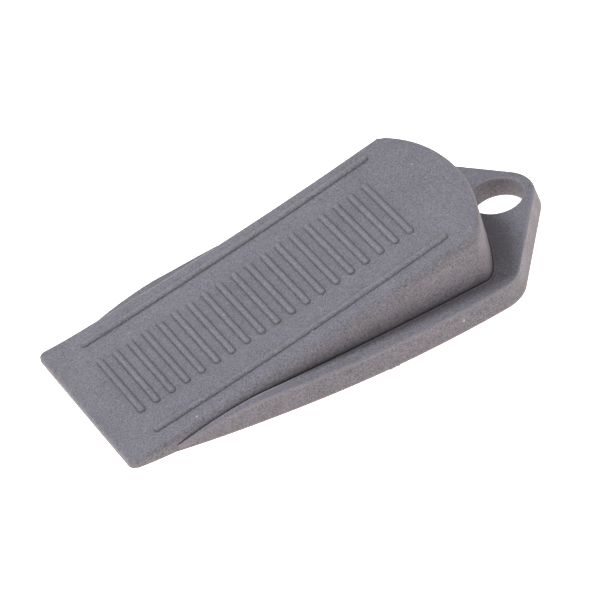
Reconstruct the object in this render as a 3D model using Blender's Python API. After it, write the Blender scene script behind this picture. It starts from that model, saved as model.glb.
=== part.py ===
"""Wedge door stop: a ribbed hollow wedge set into a flanged base with a hanging tab.

Metres, Z up, thin front edge towards -X, hanging tab towards +X, floor at Z = 0.
All lengths below are in millimetres and are turned into metres by the mesh helpers.
"""
import math

import bmesh
import bpy
from mathutils import Vector

MM = 0.001
GAP = 0.3                      # clearance between neighbouring pieces

# Overall plan
TAB_X = 112.4                  # hanging hole centre, measured from the front edge
TAB_R = 10.1                   # tab end radius at the floor
HOLE_R = 6.5                   # hanging hole radius
LENGTH = TAB_X + TAB_R
CENTRE_X = LENGTH / 2.0        # plan centre becomes the origin

# Sloping face
FRONT_H = 1.8                  # height of the front edge
SLOPE = math.radians(10.25)
SKIN_LIFT = 0.20               # mouldings stand this far off the floor, on the sole
BELOW = -2.0                   # cutters reach down to here
ABOVE = 12.0                   # cutters of the base plate reach up to here

# Wedge footprint
NOSE_HALF = 25.9
WALL_HALF = 26.1
NOSE_END = 22.0                # the solid nose reaches down to the floor up to here
REAR_ARC_X = 58.0
REAR_ARC_R = 46.6
REAR_CORNER_X = 96.4           # where side wall and rear arc would meet
REAR_CORNER_R = 3.4
NOSE_CORNER_R = 2.0
WALL_DRAFT = 0.07
FOOT_MARGIN = 0.3              # the upright foot ends at least this far below the rounding
TOP_ROUND = 3.2                # long upper edges
CORNER_ROUND = 2.2             # long upper edges where they reach the rear corners
TAPER_START = 80.0
REAR_ROUND = 0.6               # upper edge of the rear wall
REAR_FACING = 0.8              # rearward share of the wall direction that gets the full rear radius
TOP_ROUND_SHARE = 0.42         # rounding never takes more of the local height than this
SIDE_STATIONS = 8
REAR_STEPS = 14
CORNER_STEPS = 7
ROUND_STEPS = 5

# Base plate
FLANGE_T = 5.6
FLANGE_HALF = 32.8             # widest half width
FLANGE_WIDE_X = 78.0
FLANGE_CURVE = 0.00152         # how fast the sides curve in ahead of and behind the widest place
ARM_START = 11.6               # the flange arms leave the nose here
SHOULDER_X = 100.6             # where the side and the tab flank would meet
SHOULDER_R = 10.0
TAB_ANGLE = math.radians(37.2)
FLANGE_STATIONS = 24
TAB_STEPS = 8
FLANGE_INSET = 0.5             # draft of the outer wall
FLANGE_ROUND = 0.55
FLANGE_ROUND_STEPS = 3
RAMP_END = 34.0                # the arms climb to full height here
RAMP_RATE = 0.0357             # how fast the arms fall away ahead of that
RAMP_POWER = 1.5
RAMP_STATIONS = 8
POCKET_Z = 3.4                 # floor of the socket that takes the wedge
CUTTER_HALF = 40.0             # half width of cutters that pass right across

# Raised pattern on the sloping face
RIB_COUNT = 19
RIB_PITCH = 4.19
RIB_FIRST = 10.55
RIB_HALF_LEN = 12.2
RIB_HALF_W = 0.95
RIB_H = 0.55
BEAD_Y = 19.8
BEAD_FIRST = 9.4
BEAD_LAST = 91.6
BEAD_HALF_W = 1.0
BEAD_H = 0.7
BAR_ROOT = 0.7                 # depth the raised bars are sunk into the face
CROWN_SHARES = (1.0, 0.8, 0.55, 0.25)

# Hollow underside of the wedge
WALL_T = 2.4
ROOF_T = 2.4
WEB_T = 2.0
CELL_ENDS = (31.0, 52.0, 75.0, 95.0)
POST_R = 2.2
POST_HEAD_R = 3.7
POST_Y = 14.0
COUNTERBORE_R = 4.0
HEAD_Z = (1.55, 2.15)
COUNTERBORE_Z = 2.45
COUNTERBORE_FOOT = 0.8
POST_SEAT = 0.2                # posts start this far inside their heads
POST_BITE = 1.0                # posts run this far into the roof
POST_STEPS = 24
HEAD_STEPS = 32
HOLE_STEPS = 64

# Grip sole
SOLE_X = (8.0, 102.0)
SOLE_HALF = 22.5
SOLE_CORNER = 5.0
RECESS_Z = 1.45
SOLE_TOP = RECESS_Z - GAP
GROOVE_PITCH = 4.0
GROOVE_W = 1.4
GROOVE_DEPTH = 0.5
PLAIN_HALF = 11.0              # plain band left in the middle of the sole
GROOVES_PER_SIDE = 8
FIRST_GROOVE = 2.0             # first groove centre beyond the plain band


def slope_z(x):
    """Height of the face on the centre line above a plan position."""
    return FRONT_H + x * math.tan(SLOPE)


def flange_half(x):
    """Half width of the flange at the floor."""
    return FLANGE_HALF - FLANGE_CURVE * (x - FLANGE_WIDE_X) ** 2


def flange_top(x):
    """Upper surface of the flange: falling away along the front arms, then flat."""
    return FLANGE_T - RAMP_RATE * max(0.0, RAMP_END - x) ** RAMP_POWER


def arc_points(cx, cy, radius, start, end, steps):
    """Points on a circular arc, both ends included."""
    turn = (end - start) / steps
    angles = [start + turn * i for i in range(steps + 1)]
    return [Vector((cx + radius * math.cos(a), cy + radius * math.sin(a))) for a in angles]


def fillet(before, corner, after, radius, steps):
    """Arc that rounds one corner of an outline."""
    a = (before - corner).normalized()
    b = (after - corner).normalized()
    half = a.angle(b) / 2.0
    reach = radius / math.tan(half)
    centre = corner + (a + b).normalized() * (radius / math.sin(half))
    first = corner + a * reach - centre
    last = corner + b * reach - centre
    start = math.atan2(first.y, first.x)
    sweep = math.atan2(first.cross(last), first.dot(last))
    return arc_points(centre.x, centre.y, radius, start, start + sweep, steps)


def mirrored(half):
    """Close an outline given from its -Y side round to the centre line."""
    other = [Vector((p.x, -p.y)) for p in reversed(half)]
    pts = half + other
    return [p for i, p in enumerate(pts) if (p - pts[i - 1]).length > 1e-4]


def wedge_outline():
    """Footprint of the wedge, counter-clockwise from its front edge."""
    front = Vector((0.0, -NOSE_HALF))
    nose = fillet(Vector((0.0, 0.0)), front, Vector((NOSE_END, -WALL_HALF)), NOSE_CORNER_R, 5)
    step = (TAPER_START - NOSE_END) / SIDE_STATIONS
    side = [Vector((NOSE_END + step * i, -WALL_HALF)) for i in range(SIDE_STATIONS + 1)]
    corner = Vector((REAR_CORNER_X, -WALL_HALF))
    sweep = math.asin(WALL_HALF / REAR_ARC_R)
    arc = arc_points(REAR_ARC_X, 0.0, REAR_ARC_R, -sweep, 0.0, REAR_STEPS)
    turn = fillet(side[-1], corner, arc[3], REAR_CORNER_R, CORNER_STEPS)
    rear = [p for p in arc if p.y > turn[-1].y + 0.5]
    return mirrored(nose + side + turn + rear)


def flange_outline():
    """Floor outline of the base plate ahead of the pocket cuts."""
    step = (SHOULDER_X - ARM_START) / FLANGE_STATIONS
    xs = [ARM_START + step * i for i in range(FLANGE_STATIONS + 1)]
    side = [Vector((x, -flange_half(x))) for x in xs]
    tangent = Vector((TAB_X + TAB_R * math.cos(TAB_ANGLE), -TAB_R * math.sin(TAB_ANGLE)))
    turn = fillet(side[-3], side[-1], tangent, SHOULDER_R, CORNER_STEPS)
    tab = arc_points(TAB_X, 0.0, TAB_R, -TAB_ANGLE, 0.0, TAB_STEPS)
    keep = [p for p in side if p.x < turn[0].x - 1.0]
    return mirrored(keep + turn + tab)


def rounded_box(x0, x1, half, radius, steps=6):
    """Rounded rectangle, counter-clockwise."""
    right = fillet(Vector((x0, -half)), Vector((x1, -half)), Vector((x1, 0.0)), radius, steps)
    left = fillet(Vector((x0, 0.0)), Vector((x0, -half)), Vector((x1, -half)), radius, steps)
    return mirrored(left + right)


def inward_normals(pts):
    """Unit normals pointing into a counter-clockwise outline."""
    normals = []
    for i, p in enumerate(pts):
        ahead = (pts[(i + 1) % len(pts)] - p).normalized()
        behind = (p - pts[i - 1]).normalized()
        along = (ahead + behind).normalized()
        normals.append(Vector((-along.y, along.x)))
    return normals


def shifted(pts, inset):
    """Outline moved inwards (negative values move it outwards)."""
    return [p + n * inset for p, n in zip(pts, inward_normals(pts))]


def ring_at(pts, heights):
    return [Vector((p.x, p.y, z)) for p, z in zip(pts, heights)]


def strip_cap(bm, ring):
    """Close a ring with strips that join its two mirrored sides."""
    i, j = 0, len(ring) - 1
    while j - i > 2:
        bm.faces.new((ring[i], ring[i + 1], ring[j - 1], ring[j]))
        i += 1
        j -= 1
    if j - i == 2:
        bm.faces.new(ring[i:j + 1])


def loft(bm, rings, strips=False):
    """Closed skin through equal rings, with flat caps or caps made of cross strips."""
    made = []
    for ring in rings:
        made.append([bm.verts.new(((p.x - CENTRE_X) * MM, p.y * MM, p.z * MM)) for p in ring])
    count = len(made[0])
    for low, high in zip(made, made[1:]):
        for i in range(count):
            j = (i + 1) % count
            bm.faces.new((low[i], low[j], high[j], high[i]))
    if strips:
        strip_cap(bm, made[0])
        strip_cap(bm, made[-1])
        return
    bm.faces.new(list(reversed(made[0])))
    bm.faces.new(made[-1])


def new_object(name, bm):
    mesh = bpy.data.meshes.new(name)
    bmesh.ops.recalc_face_normals(bm, faces=bm.faces)
    bm.to_mesh(mesh)
    bm.free()
    obj = bpy.data.objects.new(name, mesh)
    bpy.context.scene.collection.objects.link(obj)
    return obj


def prism(bm, pts, z0, z1):
    loft(bm, [ring_at(pts, [z0] * len(pts)), ring_at(pts, [z1] * len(pts))])


def cylinder(bm, x, y, radius, z0, z1, steps):
    """Upright round bar."""
    turn = arc_points(x, y, radius, 0.0, 2.0 * math.pi, steps)[:-1]
    prism(bm, turn, z0, z1)


def combine(target, bm, operation, name):
    """Boolean a set of separate closed bodies into one piece."""
    tool = new_object(name, bm)
    tool.hide_render = True
    tool.display_type = 'WIRE'
    mod = target.modifiers.new(name, 'BOOLEAN')
    mod.operation = operation
    mod.solver = 'EXACT'
    mod.object = tool
    bpy.context.view_layer.update()
    graph = bpy.context.evaluated_depsgraph_get()
    mesh = bpy.data.meshes.new_from_object(target.evaluated_get(graph))
    target.modifiers.clear()
    old = target.data
    target.data = mesh
    bpy.data.meshes.remove(old)
    bpy.data.objects.remove(tool)


def face_frame(s, y, lift):
    """Point at slope distance s on the sloping face, lifted along its normal."""
    x = s * math.cos(SLOPE) - lift * math.sin(SLOPE)
    z = FRONT_H + s * math.sin(SLOPE) + lift * math.cos(SLOPE)
    return Vector((x, y, z))


def stadium(a, b, radius, lift, steps=8):
    """Round-ended outline about the segment a-b, given as (s, y) on the sloping face."""
    heading = math.atan2(b.y - a.y, b.x - a.x)
    quarter = math.pi / 2.0
    start = arc_points(b.x, b.y, radius, heading - quarter, heading + quarter, steps)
    end = arc_points(a.x, a.y, radius, heading + quarter, heading + 3.0 * quarter, steps)
    return [face_frame(p.x, p.y, lift) for p in start + end]


def raised_bar(bm, a, b, half_w, height):
    """Bar with a round-topped section and round ends, rooted below the sloping face."""
    crown = (half_w ** 2 + height ** 2) / (2.0 * height)
    rings = [stadium(a, b, half_w, -BAR_ROOT)]
    for share in CROWN_SHARES:
        rho = half_w * share
        lift = math.sqrt(crown ** 2 - rho ** 2) - (crown - height)
        rings.append(stadium(a, b, rho, lift))
    loft(bm, rings)


def eased(value, low, high):
    """Smooth step from 0 at low to 1 at high."""
    t = min(1.0, max(0.0, (value - low) / (high - low)))
    return t * t * (3.0 - 2.0 * t)


def edge_round(p, normal):
    """Upper edge radius: full on the long sides, less at the corners, small at the rear."""
    taper = eased(p.x, TAPER_START, REAR_CORNER_X - REAR_CORNER_R)
    side = TOP_ROUND + (CORNER_ROUND - TOP_ROUND) * taper
    return side + (REAR_ROUND - side) * eased(-normal.x, 0.0, REAR_FACING)


def wedge_body():
    """Solid wedge: upright foot, drafted walls, rounded upper edge, sloping face."""
    pts = wedge_outline()
    rings = [[] for _ in range(ROUND_STEPS + 3)]
    for p, n in zip(pts, inward_normals(pts)):
        r = min(edge_round(p, n), TOP_ROUND_SHARE * (slope_z(p.x) - SKIN_LIFT))
        shoulder = slope_z(p.x) - r
        foot = min(FLANGE_T, shoulder - FOOT_MARGIN)
        rings[0].append(Vector((p.x, p.y, SKIN_LIFT)))
        rings[1].append(Vector((p.x, p.y, foot)))
        lean = WALL_DRAFT * (shoulder - foot)
        for k in range(ROUND_STEPS + 1):
            a = math.pi / 2.0 * k / ROUND_STEPS
            q = p + n * (lean + r * (1.0 - math.cos(a)))
            z = slope_z(q.x) - r * (1.0 - math.sin(a))
            rings[2 + k].append(Vector((q.x, q.y, z)))
    bm = bmesh.new()
    loft(bm, rings, strips=True)
    return new_object("wedge_shell", bm)


def block(bm, x0, x1, y0, y1, z0, z1):
    """Box whose top may follow the slope when z1 is a function of x."""
    plan = [Vector((x0, y0)), Vector((x1, y0)), Vector((x1, y1)), Vector((x0, y1))]
    top = [z1(p.x) if callable(z1) else z1 for p in plan]
    loft(bm, [ring_at(plan, [z0] * 4), ring_at(plan, top)])


def cell_roof(x):
    return slope_z(x) - ROOF_T / math.cos(SLOPE)


def hollow_cells(bm):
    """Six chambers under the sloping face, parted by one long and two cross webs."""
    inner = WALL_HALF - WALL_T - WALL_DRAFT * (slope_z(CELL_ENDS[-1]) - FLANGE_T)
    half_web = WEB_T / 2.0
    for x0, x1 in zip(CELL_ENDS, CELL_ENDS[1:]):
        for side in (-1.0, 1.0):
            near, far = sorted((side * half_web, side * inner))
            block(bm, x0 + half_web, x1 - half_web, near, far, BELOW, cell_roof)


def post_places():
    middles = [(x0 + x1) / 2.0 for x0, x1 in zip(CELL_ENDS, CELL_ENDS[1:])]
    return [(x, side * POST_Y) for x in middles for side in (-1.0, 1.0)]


def add_wedge():
    """Upper moulding with its raised pattern, chambers, posts and sole recess."""
    wedge = wedge_body()
    bm = bmesh.new()
    block(bm, NOSE_END, LENGTH, -CUTTER_HALF, CUTTER_HALF, BELOW, POCKET_Z + GAP)
    combine(wedge, bm, 'DIFFERENCE', "nose_step")
    bm = bmesh.new()
    hollow_cells(bm)
    combine(wedge, bm, 'DIFFERENCE', "chambers")
    bm = bmesh.new()
    prism(bm, shifted(sole_outline(), -GAP), BELOW, RECESS_Z)
    combine(wedge, bm, 'DIFFERENCE', "sole_recess")
    bm = bmesh.new()
    for x, y in post_places():
        cylinder(bm, x, y, POST_R, HEAD_Z[0] + POST_SEAT, cell_roof(x) + POST_BITE, POST_STEPS)
    combine(wedge, bm, 'UNION', "posts")
    bm = bmesh.new()
    for x, y in post_places():
        cylinder(bm, x, y, POST_HEAD_R, HEAD_Z[0], HEAD_Z[1], HEAD_STEPS)
    combine(wedge, bm, 'UNION', "post_heads")
    bm = bmesh.new()
    reach = RIB_HALF_LEN - RIB_HALF_W
    for i in range(RIB_COUNT):
        s = RIB_FIRST + RIB_PITCH * i
        raised_bar(bm, Vector((s, -reach)), Vector((s, reach)), RIB_HALF_W, RIB_H)
    for side in (-1.0, 1.0):
        a = Vector((BEAD_FIRST + BEAD_HALF_W, side * BEAD_Y))
        b = Vector((BEAD_LAST - BEAD_HALF_W, side * BEAD_Y))
        raised_bar(bm, a, b, BEAD_HALF_W, BEAD_H)
    combine(wedge, bm, 'UNION', "raised_pattern")
    return wedge


def flange_body():
    """Solid flange with drafted wall and rounded upper edge."""
    pts = flange_outline()
    rings = [ring_at(pts, [SKIN_LIFT] * len(pts))]
    for k in range(FLANGE_ROUND_STEPS + 1):
        a = math.pi / 2.0 * k / FLANGE_ROUND_STEPS
        inset = FLANGE_INSET + FLANGE_ROUND * (1.0 - math.cos(a))
        z = FLANGE_T - FLANGE_ROUND * (1.0 - math.sin(a))
        rings.append(ring_at(shifted(pts, inset), [z] * len(pts)))
    bm = bmesh.new()
    loft(bm, rings)
    return new_object("base_plate", bm)


def arm_ramp(bm):
    """Cutter that lowers the front arms along their curved ramp."""
    low_x = ARM_START / 2.0
    step = (RAMP_END - ARM_START) / RAMP_STATIONS
    xs = [low_x] + [ARM_START + step * i for i in range(RAMP_STATIONS + 1)]
    side = [(x, flange_top(x)) for x in xs] + [(RAMP_END, ABOVE), (low_x, ABOVE)]
    rings = [[Vector((x, y, z)) for x, z in side] for y in (-CUTTER_HALF, CUTTER_HALF)]
    loft(bm, rings)


def add_base():
    """Flanged plate with a socket for the wedge, a front fork and a hanging hole."""
    base = flange_body()
    bm = bmesh.new()
    arm_ramp(bm)
    combine(base, bm, 'DIFFERENCE', "arm_ramp")
    bm = bmesh.new()
    prism(bm, shifted(wedge_outline(), -GAP), POCKET_Z, ABOVE)
    combine(base, bm, 'DIFFERENCE', "socket")
    bm = bmesh.new()
    half = WALL_HALF + GAP
    block(bm, 0.0, NOSE_END + GAP, -half, half, BELOW, ABOVE)
    combine(base, bm, 'DIFFERENCE', "nose_notch")
    bm = bmesh.new()
    prism(bm, shifted(sole_outline(), -GAP), BELOW, RECESS_Z)
    combine(base, bm, 'DIFFERENCE', "sole_recess")
    bm = bmesh.new()
    for x, y in post_places():
        cylinder(bm, x, y, COUNTERBORE_R, COUNTERBORE_FOOT, COUNTERBORE_Z, HEAD_STEPS)
    combine(base, bm, 'DIFFERENCE', "counterbores")
    bm = bmesh.new()
    for x, y in post_places():
        cylinder(bm, x, y, POST_R + GAP, COUNTERBORE_FOOT - GAP, POCKET_Z + GAP, POST_STEPS)
    cylinder(bm, TAB_X, 0.0, HOLE_R, BELOW, ABOVE, HOLE_STEPS)
    combine(base, bm, 'DIFFERENCE', "holes")
    return base


def sole_outline():
    return rounded_box(SOLE_X[0], SOLE_X[1], SOLE_HALF, SOLE_CORNER)


def add_sole():
    """Soft sole with cross grooves either side of a plain middle band."""
    bm = bmesh.new()
    prism(bm, sole_outline(), 0.0, SOLE_TOP)
    sole = new_object("grip_sole", bm)
    middle = (SOLE_X[0] + SOLE_X[1]) / 2.0
    bm = bmesh.new()
    for side in (-1.0, 1.0):
        for i in range(GROOVES_PER_SIDE):
            x = middle + side * (PLAIN_HALF + FIRST_GROOVE + GROOVE_PITCH * i)
            half = GROOVE_W / 2.0
            block(bm, x - half, x + half, -CUTTER_HALF, CUTTER_HALF, BELOW, GROOVE_DEPTH)
    combine(sole, bm, 'DIFFERENCE', "grooves")
    return sole


def paint(obj, name, colour, roughness):
    mat = bpy.data.materials.new(name)
    mat.use_nodes = True
    shader = mat.node_tree.nodes["Principled BSDF"]
    shader.inputs["Base Color"].default_value = (*colour, 1.0)
    shader.inputs["Roughness"].default_value = roughness
    obj.data.materials.clear()
    obj.data.materials.append(mat)


def move_origin(obj, x, y, z):
    """Put the object's origin at a reference point without moving its shape."""
    point = Vector(((x - CENTRE_X) * MM, y * MM, z * MM))
    for vert in obj.data.vertices:
        vert.co -= point
    obj.location = point


def build():
    for obj in list(bpy.data.objects):
        bpy.data.objects.remove(obj)
    wedge = add_wedge()
    base = add_base()
    sole = add_sole()
    paint(wedge, "wedge_grey_elastomer", (0.20, 0.195, 0.22), 0.62)
    paint(base, "base_grey_elastomer", (0.19, 0.185, 0.205), 0.64)
    paint(sole, "sole_dark_rubber", (0.07, 0.07, 0.075), 0.85)
    move_origin(wedge, 0.0, 0.0, SKIN_LIFT)
    move_origin(base, TAB_X, 0.0, SKIN_LIFT)
    move_origin(sole, (SOLE_X[0] + SOLE_X[1]) / 2.0, 0.0, 0.0)


build()
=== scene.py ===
"""Looks for the wedge door stop: fine moulded surfaces, grey elastomer finish, studio light and camera.

Plan distances are in millimetres from the thin front edge; the helpers turn them into the frame's metres.
"""
import math

import bmesh
import bpy
from mathutils import Matrix, Vector


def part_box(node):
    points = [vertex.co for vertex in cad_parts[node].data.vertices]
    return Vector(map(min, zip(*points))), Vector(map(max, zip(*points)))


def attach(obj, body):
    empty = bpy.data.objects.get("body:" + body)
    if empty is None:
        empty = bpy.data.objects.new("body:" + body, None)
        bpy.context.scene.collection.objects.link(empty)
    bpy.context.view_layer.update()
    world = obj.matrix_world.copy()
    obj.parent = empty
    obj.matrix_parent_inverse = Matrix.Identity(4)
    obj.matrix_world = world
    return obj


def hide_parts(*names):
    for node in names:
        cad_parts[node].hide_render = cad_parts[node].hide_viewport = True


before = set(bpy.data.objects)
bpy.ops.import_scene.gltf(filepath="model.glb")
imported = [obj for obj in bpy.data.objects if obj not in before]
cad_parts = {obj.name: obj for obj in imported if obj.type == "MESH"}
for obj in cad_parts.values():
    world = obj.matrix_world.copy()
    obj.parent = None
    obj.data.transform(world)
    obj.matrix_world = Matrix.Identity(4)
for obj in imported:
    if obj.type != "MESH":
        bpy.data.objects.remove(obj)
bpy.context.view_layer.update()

MM = 0.001
QUARTER = math.pi / 2.0
wedge_low, wedge_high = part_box("wedge_shell")
base_low, base_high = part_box("base_plate")
sole_low, sole_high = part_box("grip_sole")
FRONT_X = wedge_low.x                       # the plan distances start here

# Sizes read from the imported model
LENGTH = (base_high.x - FRONT_X) / MM
LIFT = base_low.z / MM
FLANGE_T = base_high.z / MM
FLANGE_HALF = base_high.y / MM
WALL_HALF = wedge_high.y / MM
SOLE_HALF = sole_high.y / MM
SOLE_X0 = (sole_low.x - FRONT_X) / MM
SOLE_X1 = (sole_high.x - FRONT_X) / MM
SOLE_TOP = sole_high.z / MM

# Sloping face and wedge footprint
FRONT_H = 1.8
SLOPE = math.radians(10.25)
NOSE_HALF = 25.9
NOSE_END = 22.0
NOSE_CORNER_R = 2.0
REAR_ARC_X = 58.53
REAR_ARC_R = 45.87
REAR_CORNER_X = 96.05
REAR_CORNER_R = 3.4
WALL_DRAFT = 0.07
TOP_ROUND = 3.2
TOP_ROUND_SHARE = 0.42                      # of the local height, where the wedge is thin
CORNER_ROUND = 3.0
TAPER_START = 80.0
REAR_ROUND = 0.8
REAR_END_ROUND = 2.3
SUPPORT_BAND = 0.3                          # narrow ring on the face that keeps the shading clean
WALL_LEAST = 0.3                            # upright wall left below the rounded edge

# Base plate
TAB_R = 10.1
TAB_X = LENGTH - TAB_R
HOLE_R = 6.5
HOLE_RIM = 0.55
FLANGE_WIDE_X = 78.0
FLANGE_CURVE = 0.00152
ARM_START = 11.6
SHOULDER_X = 100.6
SHOULDER_R = 10.0
TAB_ANGLE = math.radians(37.2)
FLANGE_INSET = 0.8
FLANGE_ROUND = 0.40
FOOT_ROUND = 0.3
DRAFT_LEAST = 0.05                          # share of insets and rounds left at the arm tips
DRAFT_FULL_X = 40.0
RAMP_END = 34.0
RAMP_RATE = 0.0357
RAMP_POWER = 1.5
POCKET_Z = 3.4
POCKET_GAP = 0.3
POCKET_LIP = 0.12
POCKET_RISE = 0.01                          # least height between two rings of the socket
ARM_GAP = 0.02                              # the front arms hug the nose
WALL_GAP = 0.22
WALL_GAP_X = 42.0
REAR_GAP = 0.10

# Raised pattern
RIB_COUNT = 19
RIB_PITCH = 4.19
RIB_FIRST = 10.55
RIB_HALF_LEN = 12.2
RIB_HALF_W = 0.95
RIB_H = 0.62
BEAD_Y = 19.8
BEAD_FIRST = 9.4
BEAD_LAST = 91.6
BEAD_HALF_W = 1.1
BEAD_H = 0.68
BAR_ROOT = 0.7

# Slight bow of the moulding: it rests on its middle, the nose and the tab stand off the floor
BOW_LOW_X = 62.0
BOW_NOSE = 1.05
BOW_TAB = 1.65
BOW_TAB_POWER = 1.54
NOSE_CURL = 0.45                            # the thin edge turns up a little more
NOSE_CURL_END = 9.0

# Gate mark on the near wall of the flange: a small nick and, behind it, short torn lumps
GATE_X = 63.4
NICK_HALF = 0.16
NICK_TOP = 1.5
NICK_DEPTH = 0.35
GATE_LUMPS = ((1.0, 0.42, 0.22, 0.85), (1.9, 0.36, 0.14, 0.60), (2.9, 0.46, 0.20, 0.75))
LUMP_ROOT = 0.6                             # how deep in the wall a lump starts
LUMP_FOOT = 0.1
LUMP_SHOULDER = 0.6                         # share of its height where it begins to narrow
LUMP_CROWN = 0.6                            # share of its plan left at the top
LUMP_STEPS = 8
LUMP_START = math.radians(198.0)
LUMP_END = math.radians(342.0)

# Sole
SOLE_CORNER = 5.0
SOLE_GAP = 0.3
SOLE_EDGE = ((0.0, 0.25), (0.08, 0.09), (0.25, 0.0), (SOLE_TOP, 0.0))
GROOVE_COUNT = 8
GROOVE_PITCH = 4.0
GROOVE_W = 1.4
GROOVE_DEPTH = 0.5
GROOVE_FIRST = 13.0
RECESS_Z = 1.45

# How finely curves are divided
NOSE_STEPS = 10
NOSE_STATION = 2.0
SIDE_SPANS = 32
SIDE_RUNOUT = 4.0                           # plain stretch left for the rear corner
ARC_STEPS = 56
ARC_TANGENT = 12                            # arc point that the rear corner is turned towards
REAR_JOIN = 0.3                             # arc points nearer than this to the corner are dropped
CORNER_STEPS = 16
EDGE_STEPS = 14
FLANGE_SPANS = 60
SHOULDER_RUN = 6                            # stations that give the shoulder its direction
SHOULDER_JOIN = 0.5
TAB_STEPS = 24
FLANGE_EDGE_STEPS = 10
FOOT_STEPS = 3
LIP_STEPS = 4
RIM_STEPS = 6
BORE_SIDES = 128
SOLE_STEPS = 12
BAR_END_STEPS = 14
CROWN_RINGS = 8
CROWN_TURN = math.radians(12.0)
BEAD_SPANS = 41

# Mesh clean-up and cutters
WELD = 0.000002
SHARP_ANGLE = math.radians(32.0)
CUT_FRONT = -5.0
CUT_LOW = -2.0
CUT_TOP = 12.0
CUT_HALF = 40.0


def bow(x):
    """How far the bowed moulding stands off the floor."""
    if x < BOW_LOW_X:
        curl = NOSE_CURL * max(0.0, 1.0 - x / NOSE_CURL_END) ** 2
        return BOW_NOSE * (1.0 - x / BOW_LOW_X) ** 2 + curl
    return BOW_TAB * ((x - BOW_LOW_X) / BOW_LOW_X) ** BOW_TAB_POWER


def slope_z(x):
    return FRONT_H + x * math.tan(SLOPE)


def flange_half(x):
    return FLANGE_HALF - FLANGE_CURVE * (x - FLANGE_WIDE_X) ** 2


def flange_top(x):
    """Upper surface of the flange: falling away along the front arms, then flat."""
    return FLANGE_T - RAMP_RATE * max(0.0, RAMP_END - x) ** RAMP_POWER


def eased(value, low, high):
    t = min(1.0, max(0.0, (value - low) / (high - low)))
    return t * t * (3.0 - 2.0 * t)


# Outlines ------------------------------------------------------------------

def arc_points(cx, cy, radius, start, end, steps):
    turn = (end - start) / steps
    angles = [start + turn * i for i in range(steps + 1)]
    return [Vector((cx + radius * math.cos(a), cy + radius * math.sin(a))) for a in angles]


def fillet(before, corner, after, radius, steps):
    """Arc that rounds one corner of an outline."""
    a = (before - corner).normalized()
    b = (after - corner).normalized()
    half = a.angle(b) / 2.0
    reach = radius / math.tan(half)
    centre = corner + (a + b).normalized() * (radius / math.sin(half))
    first = corner + a * reach - centre
    last = corner + b * reach - centre
    start = math.atan2(first.y, first.x)
    sweep = math.atan2(first.cross(last), first.dot(last))
    return arc_points(centre.x, centre.y, radius, start, start + sweep, steps)


def mirrored(half):
    """Close an outline given along its -Y side, from the front centre to the rear centre."""
    other = [Vector((p.x, -p.y)) for p in reversed(half)]
    pts = half + other
    return [p for i, p in enumerate(pts) if (p - pts[i - 1]).length > 1e-4]


def between(first, last, spans):
    return [first.lerp(last, i / spans) for i in range(1, spans)]


def wedge_outline():
    """Foot of the wedge: straight nose, nearly parallel sides, rear wall on an arc."""
    front = Vector((0.0, -NOSE_HALF))
    nose_end = Vector((NOSE_END, -WALL_HALF))
    nose = fillet(Vector((0.0, 0.0)), front, nose_end, NOSE_CORNER_R, NOSE_STEPS)
    stations = round(NOSE_END / NOSE_STATION)
    taper = [front.lerp(nose_end, i / stations) for i in range(1, stations)]
    side_end = Vector((REAR_CORNER_X - SIDE_RUNOUT, -WALL_HALF))
    side = [nose_end] + between(nose_end, side_end, SIDE_SPANS)
    corner = Vector((REAR_CORNER_X, -WALL_HALF))
    sweep = math.asin(WALL_HALF / REAR_ARC_R)
    arc = arc_points(REAR_ARC_X, 0.0, REAR_ARC_R, -sweep, 0.0, ARC_STEPS)
    turn = fillet(side[-1], corner, arc[ARC_TANGENT], REAR_CORNER_R, CORNER_STEPS)
    rear = [p for p in arc if p.y > turn[-1].y + REAR_JOIN]
    return mirrored(nose + taper + side + turn + rear)


def flange_outline():
    """Flange from the arm tips over the wide middle and the shoulders to the round tab."""
    step = (SHOULDER_X - ARM_START) / FLANGE_SPANS
    xs = [ARM_START + step * i for i in range(FLANGE_SPANS + 1)]
    side = [Vector((x, -flange_half(x))) for x in xs]
    tangent = Vector((TAB_X + TAB_R * math.cos(TAB_ANGLE), -TAB_R * math.sin(TAB_ANGLE)))
    turn = fillet(side[-SHOULDER_RUN], side[-1], tangent, SHOULDER_R, TAB_STEPS)
    tab = arc_points(TAB_X, 0.0, TAB_R, -TAB_ANGLE, 0.0, TAB_STEPS)
    keep = [p for p in side if p.x < turn[0].x - SHOULDER_JOIN]
    return mirrored(keep + turn + tab)


def rounded_box(x0, x1, half, radius):
    near_front, near_rear = Vector((x0, -half)), Vector((x1, -half))
    front = fillet(Vector((x0, 0.0)), near_front, near_rear, radius, SOLE_STEPS)
    rear = fillet(near_front, near_rear, Vector((x1, 0.0)), radius, SOLE_STEPS)
    return mirrored(front + rear)


def inward_normals(pts):
    normals = []
    for i, p in enumerate(pts):
        ahead = (pts[(i + 1) % len(pts)] - p).normalized()
        behind = (p - pts[i - 1]).normalized()
        along = (ahead + behind).normalized()
        normals.append(Vector((-along.y, along.x)))
    return normals


def shifted(pts, insets):
    return [p + n * inset for p, n, inset in zip(pts, inward_normals(pts), insets)]


# Meshes --------------------------------------------------------------------

def ring_at(pts, heights):
    return [Vector((p.x, p.y, z)) for p, z in zip(pts, heights)]


def level_ring(pts, z):
    return ring_at(pts, [z] * len(pts))


def strip_cap(bm, ring):
    """Close a ring with strips that join its two mirrored sides."""
    i, j = 0, len(ring) - 1
    while j - i > 2:
        bm.faces.new((ring[i], ring[i + 1], ring[j - 1], ring[j]))
        i += 1
        j -= 1
    if j - i == 2:
        bm.faces.new(ring[i:j + 1])


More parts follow.
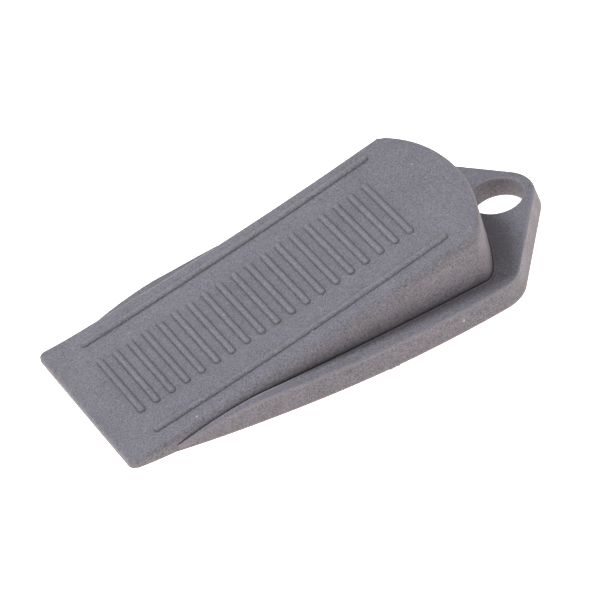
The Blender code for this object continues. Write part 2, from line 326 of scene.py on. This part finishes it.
def loft(bm, rings, strips=False):
    """Closed skin through equal rings, with flat caps or caps made of cross strips."""
    made = []
    for ring in rings:
        made.append([bm.verts.new((FRONT_X + p.x * MM, p.y * MM, p.z * MM)) for p in ring])
    count = len(made[0])
    for low, high in zip(made, made[1:]):
        for i in range(count):
            j = (i + 1) % count
            bm.faces.new((low[i], low[j], high[j], high[i]))
    if strips:
        strip_cap(bm, made[0])
        strip_cap(bm, made[-1])
        return
    bm.faces.new(list(reversed(made[0])))
    bm.faces.new(made[-1])


def prism(bm, pts, z0, z1):
    loft(bm, [level_ring(pts, z0), level_ring(pts, z1)])


def block(bm, x0, x1, half, z0, z1):
    plan = [Vector((x0, -half)), Vector((x1, -half)), Vector((x1, half)), Vector((x0, half))]
    prism(bm, plan, z0, z1)


def new_object(name, bm):
    mesh = bpy.data.meshes.new(name)
    bmesh.ops.recalc_face_normals(bm, faces=bm.faces)
    bm.to_mesh(mesh)
    bm.free()
    obj = bpy.data.objects.new(name, mesh)
    bpy.context.scene.collection.objects.link(obj)
    return obj


def combine(target, bm, operation, name):
    """Apply one Boolean; the tool mesh must not overlap itself."""
    tool = new_object(name, bm)
    mod = target.modifiers.new(name, 'BOOLEAN')
    mod.operation = operation
    mod.solver = 'EXACT'
    mod.object = tool
    bpy.context.view_layer.update()
    graph = bpy.context.evaluated_depsgraph_get()
    mesh = bpy.data.meshes.new_from_object(target.evaluated_get(graph))
    target.modifiers.clear()
    target.data = mesh
    bpy.data.objects.remove(tool)


def finish_mesh(obj):
    """Weld Boolean slivers, bend to the bow, shade rounded parts smooth and flat parts flat."""
    bm = bmesh.new()
    bm.from_mesh(obj.data)
    bmesh.ops.triangulate(bm, faces=bm.faces)
    bmesh.ops.remove_doubles(bm, verts=bm.verts, dist=WELD)
    bmesh.ops.dissolve_degenerate(bm, edges=bm.edges, dist=WELD)
    for vert in bm.verts:
        vert.co.z += bow((vert.co.x - FRONT_X) / MM) * MM
    bm.to_mesh(obj.data)
    bm.free()
    obj.data.shade_smooth()
    obj.data.set_sharp_from_angle(angle=SHARP_ANGLE)
    mod = obj.modifiers.new("face_normals", 'WEIGHTED_NORMAL')
    mod.keep_sharp = True
    mod.weight = 100


def cut_sole_recess(target):
    x0, x1 = SOLE_X0 - SOLE_GAP, SOLE_X1 + SOLE_GAP
    plan = rounded_box(x0, x1, SOLE_HALF + SOLE_GAP, SOLE_CORNER + SOLE_GAP)
    bm = bmesh.new()
    prism(bm, plan, CUT_LOW, RECESS_Z)
    combine(target, bm, 'DIFFERENCE', "sole_recess")


# Wedge ---------------------------------------------------------------------

def face_point(s, y, lift):
    """Point at slope distance s on the sloping face, lifted along its normal."""
    x = s * math.cos(SLOPE) - lift * math.sin(SLOPE)
    z = FRONT_H + s * math.sin(SLOPE) + lift * math.cos(SLOPE)
    return Vector((x, y, z))


def stadium(a, b, radius, lift, spans):
    """Outline with round ends about a and b; long sides are split so that they can follow the bow."""
    heading = math.atan2(b.y - a.y, b.x - a.x)
    head = arc_points(b.x, b.y, radius, heading - QUARTER, heading + QUARTER, BAR_END_STEPS)
    foot = arc_points(a.x, a.y, radius, heading + QUARTER, heading + 3.0 * QUARTER, BAR_END_STEPS)
    pts = head + between(head[-1], foot[0], spans) + foot + between(foot[-1], head[0], spans)
    return [face_point(p.x, p.y, lift) for p in pts]


def raised_bar(bm, a, b, half_w, height, spans=1):
    """Bar with a round-topped section and round ends, rooted below the sloping face."""
    crown = (half_w ** 2 + height ** 2) / (2.0 * height)
    rings = [stadium(a, b, half_w, -BAR_ROOT, spans)]
    for k in range(CROWN_RINGS):
        rho = half_w * math.cos(CROWN_TURN * k)
        lift = math.sqrt(crown ** 2 - rho ** 2) - (crown - height)
        rings.append(stadium(a, b, rho, lift, spans))
    loft(bm, rings)


def raised_pattern(bm):
    reach = RIB_HALF_LEN - RIB_HALF_W
    for i in range(RIB_COUNT):
        s = RIB_FIRST + RIB_PITCH * i
        raised_bar(bm, Vector((s, -reach)), Vector((s, reach)), RIB_HALF_W, RIB_H)
    for side in (-1.0, 1.0):
        a = Vector((BEAD_FIRST + BEAD_HALF_W, side * BEAD_Y))
        b = Vector((BEAD_LAST - BEAD_HALF_W, side * BEAD_Y))
        raised_bar(bm, a, b, BEAD_HALF_W, BEAD_H, BEAD_SPANS)


def edge_round(p, normal):
    """Upper edge radius: full on the long sides, tapering into the corner and small at the rear."""
    side = TOP_ROUND + (CORNER_ROUND - TOP_ROUND) * eased(p.x, TAPER_START, REAR_CORNER_X - REAR_CORNER_R)
    rear = REAR_END_ROUND + (REAR_ROUND - REAR_END_ROUND) * eased(-normal.x, 0.8, 0.98)
    return side + (rear - side) * eased(-normal.x, 0.0, 0.8)


def wall_profile(p, normal):
    """Points of one upright section: foot, drafted wall, rounded edge and a support point on the face."""
    r = min(edge_round(p, normal), TOP_ROUND_SHARE * (slope_z(p.x) - LIFT))
    shoulder = slope_z(p.x) - r
    foot = min(FLANGE_T, shoulder - WALL_LEAST)
    lean = WALL_DRAFT * (shoulder - foot)
    points = [Vector((p.x, p.y, LIFT)), Vector((p.x, p.y, foot))]
    for k in range(EDGE_STEPS + 1):
        a = QUARTER * k / EDGE_STEPS
        q = p + normal * (lean + r * (1.0 - math.cos(a)))
        points.append(Vector((q.x, q.y, slope_z(q.x) - r * (1.0 - math.sin(a)))))
    q = p + normal * (lean + r + SUPPORT_BAND * min(1.0, r))
    points.append(Vector((q.x, q.y, slope_z(q.x))))
    return points


def make_wedge():
    pts = wedge_outline()
    profiles = [wall_profile(p, n) for p, n in zip(pts, inward_normals(pts))]
    bm = bmesh.new()
    loft(bm, [list(ring) for ring in zip(*profiles)], strips=True)
    wedge = new_object("wedge_skin", bm)
    bm = bmesh.new()
    block(bm, NOSE_END, LENGTH, CUT_HALF, CUT_LOW, POCKET_Z + POCKET_GAP)
    combine(wedge, bm, 'DIFFERENCE', "nose_step")
    cut_sole_recess(wedge)
    bm = bmesh.new()
    raised_pattern(bm)
    combine(wedge, bm, 'UNION', "raised_pattern")
    finish_mesh(wedge)
    return wedge


# Base ----------------------------------------------------------------------

def flange_ring(pts, draft, inset, drop):
    ring = shifted(pts, [inset * d for d in draft])
    return ring_at(ring, [flange_top(p.x) - drop * d for p, d in zip(ring, draft)])


def foot_ring(pts, draft, inset, rise):
    ring = shifted(pts, [inset * d for d in draft])
    return ring_at(ring, [LIFT + rise * d for d in draft])


def flange_body():
    """Flange skin with a small round at the foot, a drafted wall and a rounded upper edge."""
    pts = flange_outline()
    draft = [DRAFT_LEAST + (1.0 - DRAFT_LEAST) * eased(p.x, ARM_START, DRAFT_FULL_X) for p in pts]
    rings = []
    for k in range(FOOT_STEPS + 1):
        a = QUARTER * k / FOOT_STEPS
        inset = FOOT_ROUND * (1.0 - math.sin(a))
        rings.append(foot_ring(pts, draft, inset, FOOT_ROUND * (1.0 - math.cos(a))))
    for k in range(FLANGE_EDGE_STEPS + 1):
        a = QUARTER * k / FLANGE_EDGE_STEPS
        inset = FLANGE_INSET + FLANGE_ROUND * (1.0 - math.cos(a))
        rings.append(flange_ring(pts, draft, inset, FLANGE_ROUND * (1.0 - math.sin(a))))
    rings.append(flange_ring(pts, draft, FLANGE_INSET + FLANGE_ROUND + SUPPORT_BAND, 0.0))
    bm = bmesh.new()
    loft(bm, rings, strips=True)
    return new_object("base_skin", bm)


def flared_bore(bm, x, y, radius, rim):
    """Round cutter whose ends open out, so that the bore gets rounded rims."""
    levels = [(LIFT + CUT_LOW, rim)]
    for k in range(RIM_STEPS + 1):
        a = QUARTER * (1.0 - k / RIM_STEPS)
        levels.append((LIFT + rim - rim * math.sin(a), rim * (1.0 - math.cos(a))))
    for k in range(RIM_STEPS + 1):
        a = QUARTER * k / RIM_STEPS
        levels.append((FLANGE_T - rim + rim * math.sin(a), rim * (1.0 - math.cos(a))))
    levels.append((CUT_TOP, rim))
    rings = []
    for z, flare in levels:
        turn = arc_points(x, y, radius + flare, 0.0, 2.0 * math.pi, BORE_SIDES)[:-1]
        rings.append(level_ring(turn, z))
    loft(bm, rings)


def clearance(p, normal):
    """Gap round the wedge foot: nil along the arms, a fine line along the walls."""
    wall = ARM_GAP + (WALL_GAP - ARM_GAP) * eased(p.x, NOSE_END, WALL_GAP_X)
    return wall + (REAR_GAP - wall) * eased(-normal.x, 0.0, 0.6)


def socket_cutter(bm):
    """Room for the wedge foot, opening out by a small lip at the flange's upper surface."""
    pts = wedge_outline()
    gaps = [clearance(p, n) for p, n in zip(pts, inward_normals(pts))]

    def widened(flare):
        scale = 1.0 + flare * POCKET_LIP / WALL_GAP
        return shifted(pts, [-gap * scale for gap in gaps])

    rings = [level_ring(widened(0.0), POCKET_Z)]
    for k in range(LIP_STEPS + 1):
        a = QUARTER * k / LIP_STEPS
        ring = widened(1.0 - math.cos(a))
        drop = POCKET_LIP * (1.0 - math.sin(a))
        lowest = POCKET_Z + POCKET_RISE * (k + 1)
        rings.append(ring_at(ring, [max(lowest, flange_top(p.x) - drop) for p in ring]))
    rings.append(level_ring(widened(1.0), CUT_TOP))
    loft(bm, rings)


def cut_nick(base):
    wall = -flange_half(GATE_X)
    plan = [Vector((GATE_X - NICK_HALF, wall - 1.0)), Vector((GATE_X + NICK_HALF, wall - 1.0)),
            Vector((GATE_X, wall + NICK_DEPTH))]
    bm = bmesh.new()
    prism(bm, plan, -1.0, NICK_TOP)
    combine(base, bm, 'DIFFERENCE', "gate_nick")


def add_lump(base, along, half, out, high):
    """One torn lump: a rounded stub rooted in the wall, tapering upwards."""
    x = GATE_X + along
    root = Vector((x, LUMP_ROOT - flange_half(x)))
    plan = arc_points(x, half - flange_half(x), half + out, LUMP_START, LUMP_END, LUMP_STEPS)
    plan += [root + Vector((half, 0.0)), root - Vector((half, 0.0))]
    crown = [root + (q - root) * LUMP_CROWN for q in plan]
    bm = bmesh.new()
    loft(bm, [level_ring(plan, LIFT + LUMP_FOOT), level_ring(plan, LIFT + LUMP_SHOULDER * high),
              level_ring(crown, LIFT + high)])
    combine(base, bm, 'UNION', "gate_lump")


def make_base():
    base = flange_body()
    bm = bmesh.new()
    socket_cutter(bm)
    combine(base, bm, 'DIFFERENCE', "socket")
    bm = bmesh.new()
    block(bm, CUT_FRONT, NOSE_END + POCKET_GAP, WALL_HALF + ARM_GAP, CUT_LOW, CUT_TOP)
    combine(base, bm, 'DIFFERENCE', "nose_notch")
    cut_sole_recess(base)
    bm = bmesh.new()
    flared_bore(bm, TAB_X, 0.0, HOLE_R, HOLE_RIM)
    combine(base, bm, 'DIFFERENCE', "hanging_hole")
    cut_nick(base)
    for lump in GATE_LUMPS:
        add_lump(base, *lump)
    finish_mesh(base)
    return base


def make_sole():
    """Thin sole with cross grooves towards both ends and a plain middle."""
    pts = rounded_box(SOLE_X0, SOLE_X1, SOLE_HALF, SOLE_CORNER)
    bm = bmesh.new()
    loft(bm, [level_ring(shifted(pts, [inset] * len(pts)), z) for z, inset in SOLE_EDGE])
    sole = new_object("sole_skin", bm)
    middle = (SOLE_X0 + SOLE_X1) / 2.0
    bm = bmesh.new()
    for side in (-1.0, 1.0):
        for i in range(GROOVE_COUNT):
            x = middle + side * (GROOVE_FIRST + GROOVE_PITCH * i)
            block(bm, x - GROOVE_W / 2.0, x + GROOVE_W / 2.0, CUT_HALF, CUT_LOW, GROOVE_DEPTH)
    combine(sole, bm, 'DIFFERENCE', "grooves")
    finish_mesh(sole)
    return sole


# Materials -----------------------------------------------------------------

GREY = (0.118, 0.113, 0.129)
GREY_TINT = (0.109, 0.107, 0.117)
# pale colours used both for real scuffs and for the painted highlight on edges
WEDGE_SCUFF_AND_HIGHLIGHT = (0.228, 0.220, 0.202)
BASE_SCUFF_AND_HIGHLIGHT = (0.22, 0.208, 0.215)
DUST = (0.30, 0.29, 0.31)
SOLE_DARK = (0.055, 0.055, 0.06)
SOLE_PALE = (0.085, 0.083, 0.085)
SOLE_DUST = (0.24, 0.23, 0.22)

MOTTLE_SCALE = 140.0                        # noise scales, in cells per metre
CLOUD_SCALE = 32.0
GRAIN_SCALE = 2600.0
DUST_SCALE = 700.0
SCUFF_SCALE = (260.0, 3800.0, 900.0)
SCUFF_TURN = 0.9
CLOUD_DEPTH = 0.05                          # brightness swing of the clouds and of the grain
GRAIN_DEPTH = 0.60
SCUFF_SHARE = 0.30

EDGE_HIGHLIGHT_REACH = 0.0007                         # how far the painted highlight on edges and the painted shade in creases and hollows reach
CREASE_SHADE_REACH = 0.0010
HOLLOW_SHADE_REACH = 0.0055
PAINTED_SHADE_LOW = 0.001                           # painted shade only above this height
PAINTED_SHADE_HIGH = 0.004
PAINTED_SHADE_END = 0.0445                          # and none on the tab behind here
HIGHLIGHT_START = -0.042                          # thin arm tips ahead of here get little painted highlight
HIGHLIGHT_FULL = -0.030


def noise(tree, coords, scale, detail=2.0, rough=0.5):
    made = tree.nodes.new("ShaderNodeTexNoise")
    made.inputs["Scale"].default_value = scale
    made.inputs["Detail"].default_value = detail
    made.inputs["Roughness"].default_value = rough
    tree.links.new(coords, made.inputs["Vector"])
    return made.outputs["Fac"]


def ramp(tree, factor, low, high, dark=0.0, light=1.0):
    made = tree.nodes.new("ShaderNodeMapRange")
    made.inputs["From Min"].default_value = low
    made.inputs["From Max"].default_value = high
    made.inputs["To Min"].default_value = dark
    made.inputs["To Max"].default_value = light
    tree.links.new(factor, made.inputs["Value"])
    return made.outputs["Result"]


def fill(tree, socket, value):
    """Link a socket or set a plain number or colour."""
    if isinstance(value, bpy.types.NodeSocket):
        tree.links.new(value, socket)
    elif isinstance(value, tuple):
        socket.default_value = (*value, 1.0)
    else:
        socket.default_value = value


def mix(tree, factor, a, b, blend='MIX'):
    made = tree.nodes.new("ShaderNodeMix")
    made.data_type = 'RGBA'
    made.blend_type = blend
    fill(tree, made.inputs["Factor"], factor)
    fill(tree, made.inputs["A"], a)
    fill(tree, made.inputs["B"], b)
    return made.outputs["Result"]


def scalar(tree, operation, a, b):
    made = tree.nodes.new("ShaderNodeMath")
    made.operation = operation
    fill(tree, made.inputs[0], a)
    fill(tree, made.inputs[1], b)
    return made.outputs["Value"]


def product(tree, a, b):
    return scalar(tree, 'MULTIPLY', a, b)


def swing(tree, colour, factor, low, high, depth):
    """Vary a colour's brightness by plus or minus depth as the factor goes from low to high."""
    shade = mix(tree, ramp(tree, factor, low, high), (1.0 - depth,) * 3, (1.0 + depth,) * 3)
    return mix(tree, 1.0, colour, shade, 'MULTIPLY')


def stretched(tree, coords, scale, turn):
    made = tree.nodes.new("ShaderNodeMapping")
    made.inputs["Scale"].default_value = scale
    made.inputs["Rotation"].default_value = (0.0, 0.0, turn)
    tree.links.new(coords, made.inputs["Vector"])
    return made.outputs["Vector"]


def occlusion(tree, distance, inside=False):
    """How open a surface point is; with inside set, how far it is from an outer edge."""
    made = tree.nodes.new("ShaderNodeAmbientOcclusion")
    made.samples = 8
    made.inside = inside
    made.only_local = inside
    made.inputs["Distance"].default_value = distance
    return made.outputs["AO"]


def add_bump(tree, shader, height, strength, distance):
    bump = tree.nodes.new("ShaderNodeBump")
    bump.inputs["Strength"].default_value = strength
    bump.inputs["Distance"].default_value = distance
    tree.links.new(height, bump.inputs["Height"])
    tree.links.new(bump.outputs["Normal"], shader.inputs["Normal"])


def new_material(name):
    mat = bpy.data.materials.new(name)
    mat.use_nodes = True
    tree = mat.node_tree
    coords = tree.nodes.new("ShaderNodeTexCoord").outputs["Object"]
    return mat, tree, tree.nodes["Principled BSDF"], coords


def painted_shade_mask(tree, axes, crease_shade_low, hollow_shade_low):
    """Painted shade in creases and hollows, kept off the foot of the flange and off the tab."""
    place = product(tree, ramp(tree, axes["Z"], PAINTED_SHADE_LOW, PAINTED_SHADE_HIGH),
                    ramp(tree, axes["X"], PAINTED_SHADE_END, PAINTED_SHADE_END + MM, 1.0, 0.0))
    # painted shade: ambient occlusion darkens creases and hollows
    crease_shade = ramp(tree, occlusion(tree, CREASE_SHADE_REACH), 0.45, 0.92, crease_shade_low, 1.0)
    hollow_shade = ramp(tree, occlusion(tree, HOLLOW_SHADE_REACH), 0.30, 0.95, hollow_shade_low, 1.0)
    shade_amount = scalar(tree, 'SUBTRACT', 1.0, product(tree, crease_shade, hollow_shade))
    return scalar(tree, 'SUBTRACT', 1.0, product(tree, place, shade_amount))


def moulded_grey(name, scuff_and_highlight, crease_shade_low, hollow_shade_low):
    """Matte moulded elastomer: mottled grey, fine grain, painted shade in creases, painted highlight on
    edges, dust and scuffs.
    """
    mat, tree, shader, coords = new_material(name)
    split = tree.nodes.new("ShaderNodeSeparateXYZ")
    tree.links.new(coords, split.inputs["Vector"])
    axes = split.outputs
    mottle = noise(tree, coords, MOTTLE_SCALE, 3.0, 0.55)
    cloud = noise(tree, coords, CLOUD_SCALE)
    grain = noise(tree, coords, GRAIN_SCALE, 3.0, 0.75)
    colour = mix(tree, ramp(tree, mottle, 0.35, 0.65), GREY, GREY_TINT)
    colour = swing(tree, colour, cloud, 0.3, 0.7, CLOUD_DEPTH)
    colour = swing(tree, colour, grain, 0.3, 0.7, GRAIN_DEPTH)
    # painted highlight: outer edges lightened towards the pale colour
    edge = scalar(tree, 'SUBTRACT', 1.0, occlusion(tree, EDGE_HIGHLIGHT_REACH, True))
    edge_highlight = product(tree, ramp(tree, edge, 0.03, 0.30), ramp(tree, mottle, 0.3, 0.6, 0.5, 0.9))
    edge_highlight = product(tree, edge_highlight, ramp(tree, axes["X"], HIGHLIGHT_START, HIGHLIGHT_FULL, 0.25, 1.0))
    colour = mix(tree, edge_highlight, colour, scuff_and_highlight)
    dust = ramp(tree, noise(tree, coords, DUST_SCALE, 1.0), 0.80, 0.83)
    colour = mix(tree, dust, colour, DUST)
    lines = noise(tree, stretched(tree, coords, SCUFF_SCALE, SCUFF_TURN), 1.0)
    scuff = product(tree, ramp(tree, lines, 0.58, 0.72), ramp(tree, cloud, 0.45, 0.60))
    colour = mix(tree, product(tree, scuff, SCUFF_SHARE), colour, scuff_and_highlight)
    # painted shade multiplied into the colour
    painted_shade = painted_shade_mask(tree, axes, crease_shade_low, hollow_shade_low)
    tone = tree.nodes.new("ShaderNodeCombineColor")
    for channel in ("Red", "Green", "Blue"):
        tree.links.new(painted_shade, tone.inputs[channel])
    colour = mix(tree, 1.0, colour, tone.outputs["Color"], 'MULTIPLY')
    tree.links.new(colour, shader.inputs["Base Color"])
    tree.links.new(ramp(tree, mottle, 0.3, 0.7, 0.56, 0.68), shader.inputs["Roughness"])
    shader.inputs["Specular IOR Level"].default_value = 0.40
    height = scalar(tree, 'ADD', product(tree, grain, 0.7), product(tree, mottle, 0.5))
    height = scalar(tree, 'SUBTRACT', height, product(tree, scuff, 0.4))
    add_bump(tree, shader, height, 0.45, 0.35 * MM)
    return mat


def sole_rubber():
    """Dark, dull rubber with some dust."""
    mat, tree, shader, coords = new_material("sole_dark_rubber")
    mottle = noise(tree, coords, 160.0, 3.0)
    grain = noise(tree, coords, GRAIN_SCALE, 2.0, 0.7)
    colour = mix(tree, ramp(tree, mottle, 0.3, 0.7), SOLE_DARK, SOLE_PALE)
    dust = ramp(tree, noise(tree, coords, DUST_SCALE), 0.62, 0.80)
    colour = mix(tree, product(tree, dust, 0.5), colour, SOLE_DUST)
    tree.links.new(colour, shader.inputs["Base Color"])
    tree.links.new(ramp(tree, grain, 0.3, 0.7, 0.72, 0.9), shader.inputs["Roughness"])
    add_bump(tree, shader, grain, 0.4, 0.3 * MM)
    return mat


def dress(obj, mat, cad_node):
    obj.data.materials.clear()
    obj.data.materials.append(mat)
    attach(obj, "root")
    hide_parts(cad_node)


# Studio --------------------------------------------------------------------

AIM = Vector((-0.00397, -0.00235, 0.00608))
CAMERA_AZIMUTH = math.radians(70.750)
CAMERA_ELEVATION = math.radians(37.350)
CAMERA_ROLL = math.radians(-13.839)
CAMERA_DISTANCE = 1.0
CAMERA_LENS = 256.35

FLOOR_REACH = 3.0
FLOOR_COLOUR = (0.86, 0.86, 0.86)
FLOOR_GLOW = (1.0, 0.85, 0.78)              # the pale floor is lit from below like a light table
FLOOR_GLOW_STRENGTH = 1.5
WORLD_COLOUR = (0.93, 0.94, 1.0)
WORLD_STRENGTH = 0.62
COOL = (0.92, 0.93, 1.0)
WARM = (1.0, 0.88, 0.80)
LIGHTS = (                                  # name, place, size, power, colour
    ("key", (-0.34, 0.33, 0.84), 0.36, 10.2, COOL),
    ("front_fill", (-0.42, -0.45, 0.28), 0.4, 1.0, WARM),
    ("side_fill", (0.95, -0.35, 0.22), 0.5, 4.5, WARM),
)


def add_camera():
    """Long lens, looking down on the near side with the thin edge to the left."""
    back = Vector((-math.cos(CAMERA_AZIMUTH), -math.sin(CAMERA_AZIMUTH), math.tan(CAMERA_ELEVATION)))
    back.normalize()
    right = Vector((0.0, 0.0, 1.0)).cross(back).normalized()
    up = back.cross(right)
    c, s = math.cos(CAMERA_ROLL), math.sin(CAMERA_ROLL)
    cam = bpy.data.objects.new("camera", bpy.data.cameras.new("camera"))
    bpy.context.scene.collection.objects.link(cam)
    cam.data.lens = CAMERA_LENS
    cam.data.clip_start = 0.01
    place = Matrix((right * c + up * s, up * c - right * s, back)).transposed().to_4x4()
    place.translation = AIM + back * CAMERA_DISTANCE
    cam.matrix_world = place
    bpy.context.scene.camera = cam


def area_light(name, place, size, power, colour):
    light = bpy.data.lights.new(name, 'AREA')
    light.shape = 'DISK'
    light.size = size
    light.energy = power
    light.color = colour
    obj = bpy.data.objects.new(name, light)
    bpy.context.scene.collection.objects.link(obj)
    obj.location = place
    obj.rotation_euler = (-Vector(place)).to_track_quat('-Z', 'Y').to_euler()


def add_floor():
    bm = bmesh.new()
    bmesh.ops.create_grid(bm, x_segments=1, y_segments=1, size=FLOOR_REACH)
    floor = new_object("studio_floor", bm)
    mat = bpy.data.materials.new("studio_floor")
    mat.use_nodes = True
    shader = mat.node_tree.nodes["Principled BSDF"]
    shader.inputs["Base Color"].default_value = (*FLOOR_COLOUR, 1.0)
    shader.inputs["Roughness"].default_value = 0.9
    shader.inputs["Emission Color"].default_value = (*FLOOR_GLOW, 1.0)
    shader.inputs["Emission Strength"].default_value = FLOOR_GLOW_STRENGTH
    floor.data.materials.append(mat)


def add_studio():
    add_floor()
    world = bpy.data.worlds.new("studio")
    bpy.context.scene.world = world
    world.use_nodes = True
    sky = world.node_tree.nodes["Background"]
    sky.inputs["Color"].default_value = (*WORLD_COLOUR, 1.0)
    sky.inputs["Strength"].default_value = WORLD_STRENGTH
    for light in LIGHTS:
        area_light(*light)
    bpy.context.scene.view_settings.view_transform = 'Standard'


# last two numbers: how dark the painted shade gets in creases and in hollows
wedge_mat = moulded_grey("wedge_grey", WEDGE_SCUFF_AND_HIGHLIGHT, 0.22, 0.45)
base_mat = moulded_grey("base_grey", BASE_SCUFF_AND_HIGHLIGHT, 0.75, 0.90)
dress(make_wedge(), wedge_mat, "wedge_shell")
dress(make_base(), base_mat, "base_plate")
dress(make_sole(), sole_rubber(), "grip_sole")
add_studio()
add_camera()
